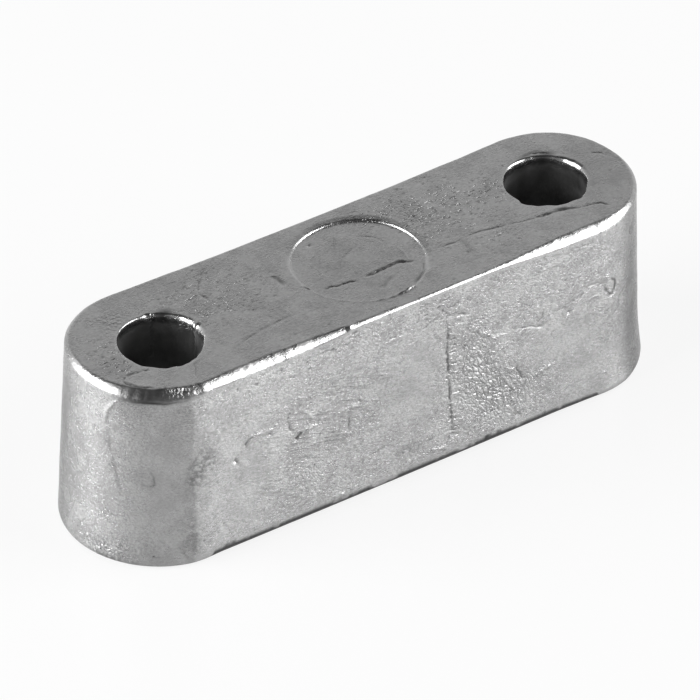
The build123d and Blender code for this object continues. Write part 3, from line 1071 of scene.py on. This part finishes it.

# %% [markdown]
# ## Cast zinc
# Zinc alloy, poured and left as cast. Fresh it is a cool, fairly bright grey with a satin shine,
# and it dulls in soft patches. The metal's own roughness is low, so it still mirrors the room,
# Smudges, darker spots by the hole mouths, and painted shade in pits, pinholes, lap grooves, wrinkle creases,
# down the bores, along the foot of the near side and along the front-left arris are darker and rougher than
# the skin.
#
# An image of zinc would repeat and carry its own light, so each pattern is noise with a scale
# from a real size. The crystals of quickly cooled zinc are 0.05 to 0.2 mm wide. They are drawn
# at the top of that, as finer ones would not show.

# %% Patterns in the zinc
CRYSTAL_MM = 0.19
DRAG_MM = 0.26  # between the scratches of a metal mould
DRAG_TILT = math.radians(16)
DRAG_LENGTH = 10.0
SPECK_MM = 0.21  # pinholes of gas
SMUDGE_MM = 0.5
PATCH_MM = 2.6
zinc = bpy.data.materials.new("cast_zinc_alloy")
tree = blank_tree(zinc)
where = node(tree, "TexCoord", out="Object")
mm = node(tree, "Mapping", {"Vector": where, "Scale": (1 / MM, 1 / MM, 1 / MM)})
tilted = node(tree, "VectorRotate", {"Vector": mm, "Angle": -DRAG_TILT}, rotation_type="Y_AXIS")
along = node(tree, "Mapping", {"Vector": tilted, "Scale": (1 / DRAG_LENGTH, 1.0, 1.0)})
oval = node(tree, "Mapping", {"Vector": tilted, "Scale": (0.5, 1.0, 1.0)})
short = node(tree, "Mapping", {"Vector": mm, "Scale": (0.3, 1.0, 1.0)})
crystal = node(tree, "TexNoise", {"Vector": oval, "Scale": 1 / CRYSTAL_MM, "Detail": 2.0, "Roughness": 0.8})
lines_drawn = node(tree, "TexNoise", {"Vector": along, "Scale": 1 / DRAG_MM, "Detail": 1.0})
speck = node(tree, "TexNoise", {"Vector": short, "Scale": 1 / SPECK_MM, "Detail": 1.0})
patch = node(tree, "TexNoise", {"Vector": mm, "Scale": 1 / PATCH_MM, "Detail": 3.0, "Distortion": 0.4})
smudge = node(tree, "TexNoise", {"Vector": mm, "Scale": 1 / SMUDGE_MM, "Detail": 3.0})
felt = {name: node(tree, "Attribute", out="Fac", attribute_name=name) for name in
        ("lively", "drag", "ripple", "pitting", "tarnish_and_painted_shade", "painted_shade_and_dark_spots", "bore", "pit", "groove", "painted_reflection_tone")}
print(len(felt), "traits felt by the metal")

# %% Creases with painted shade, and drag lines in the zinc
to_crease = creases(tree, mm, 1 / SKIN["Wrinkle Size"])
dome = node(tree, "MapRange", [to_crease, 0.0, 0.25, 0.0, 1.0])
# Painted shade along the creases of the wrinkles.
crease = node(tree, "MapRange", [to_crease, 0.0, 0.12, 1.0, 0.0])
scratch = node(tree, "MapRange", [lines_drawn, 0.5, 0.65, 0.0, 1.0])

# %% Smudges, and painted shade in pits and pinholes, in the zinc
# Pinholes of gas: a small dent in the bump, and painted shade in the colour.
speck = node(tree, "MapRange", [speck, 0.63, 0.68, 0.0, 1.0])
pocked = node(tree, "Math", [felt["pitting"], 0.1], operation="ADD")
smudge = node(tree, "MapRange", [smudge, 0.4, 0.6, 0.1, 1.5])
painted_crease_shade, scratched, specks, smudges_and_painted_shade = (
    node(tree, "Math", [pattern, where_felt], operation="MULTIPLY", use_clamp=True)
    for pattern, where_felt in ((crease, felt["ripple"]), (scratch, felt["drag"]), (speck, pocked),
                                (smudge, felt["tarnish_and_painted_shade"])))
# How far each kind of mark takes the skin towards its darkest grey. The darkest one wins. Pits, pinholes,
# crease lines, lap grooves, the bores and the band along the foot and the front-left arris get painted shade
# here; smudges, drag scratches and the spots by the hole mouths are darker grey.
dark = 0.0
for mark, share in ((felt["pit"], 0.7), (specks, 0.75), (smudges_and_painted_shade, 0.5), (painted_crease_shade, 0.36), (scratched, 0.26),
                    (felt["groove"], 0.6), (felt["bore"], 0.42), (felt["painted_shade_and_dark_spots"], 0.88)):
    shade = node(tree, "Math", [mark, share], operation="MULTIPLY")
    dark = node(tree, "Math", [dark, shade], operation="MAXIMUM", use_clamp=True)

# %% Colour, painted reflection tone, shine and grain of the zinc
YOUNG, OLD, DARKEST = linear("ACACAC"), linear("BDBDBD"), linear("363636")
aged = node(tree, "MapRange", [patch, 0.35, 0.65, 0.0, 1.0])
tint = node(tree, "Mix", {0: aged, 6: YOUNG, 7: OLD}, out=2, data_type="RGBA")
sparkle = node(tree, "MapRange", [felt["lively"], 0.0, 1.0, 0.06, 0.34])
calm = node(tree, "Math", [1.0, sparkle], operation="SUBTRACT")
glint = node(tree, "Math", [1.0, sparkle], operation="ADD")
glint = node(tree, "MapRange", [crystal, 0.3, 0.7, calm, glint])
# Painted reflection tone: the grey darkens where the room would be reflected darker, and brightens below 0.
painted_tone_factor = node(tree, "Math", [felt["painted_reflection_tone"], -0.2, 1.0], operation="MULTIPLY_ADD")
glint = node(tree, "Math", [glint, painted_tone_factor], operation="MULTIPLY")
glint = node(tree, "CombineColor", {"Red": glint, "Green": glint, "Blue": glint})
tint = node(tree, "Mix", {0: 1.0, 6: tint, 7: glint}, out=2, data_type="RGBA", blend_type="MULTIPLY")
colour = node(tree, "Mix", {0: dark, 6: tint, 7: DARKEST}, out=2, data_type="RGBA")
rough = node(tree, "MapRange", [patch, 0.3, 0.7, 0.2, 0.32])
rough = node(tree, "Math", [dark, 0.15, rough], operation="MULTIPLY_ADD")
rough = node(tree, "Math", [felt["bore"], 0.12, rough], operation="MULTIPLY_ADD")
bump = {}
for height, strength, deep in ((crystal, felt["lively"], 0.11), (lines_drawn, felt["drag"], 0.045),
                               (dome, felt["ripple"], 0.035), (specks, 1.0, -0.05)):
    bump = {"Normal": node(tree, "Bump", {"Height": height, "Strength": strength,
                                          "Distance": abs(deep) * MM, **bump}, invert=deep < 0)}
metal = node(tree, "BsdfPrincipled", {"Base Color": colour, "Metallic": 1.0, "Roughness": rough, **bump})
node(tree, "OutputMaterial", [metal])
print("metal:", len(tree.nodes), "nodes")

# %% [markdown]
# ## Grow the skin
# So far the casting is a welded net of points and the skin is a tree of nodes. The tree could
# stay on the block as a live modifier. It runs once here instead, and its result is kept as a
# plain mesh, because that is what other programs can load. The mesh then takes the place of the
# frame's plain solid.

# %% Run the tree once
SEED = 5
raw = add_object("raw_block", block_mesh)
grow = raw.modifiers.new("skin", "NODES")
grow.node_group = skin
for name, value in (SKIN | {"Seed": SEED, "Metal": zinc}).items():
    grow[keys[name]] = value
finished = bpy.data.meshes.new_from_object(raw.evaluated_get(bpy.context.evaluated_depsgraph_get()))
bpy.data.objects.remove(raw)
finished.name = "cast_block"
finished.shade_smooth()
block = add_object("cast_block", finished)
print("finished block:", len(finished.polygons), "triangles")

# %% Hand the piece to the frame
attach(block, "root")
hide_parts("anode_block")
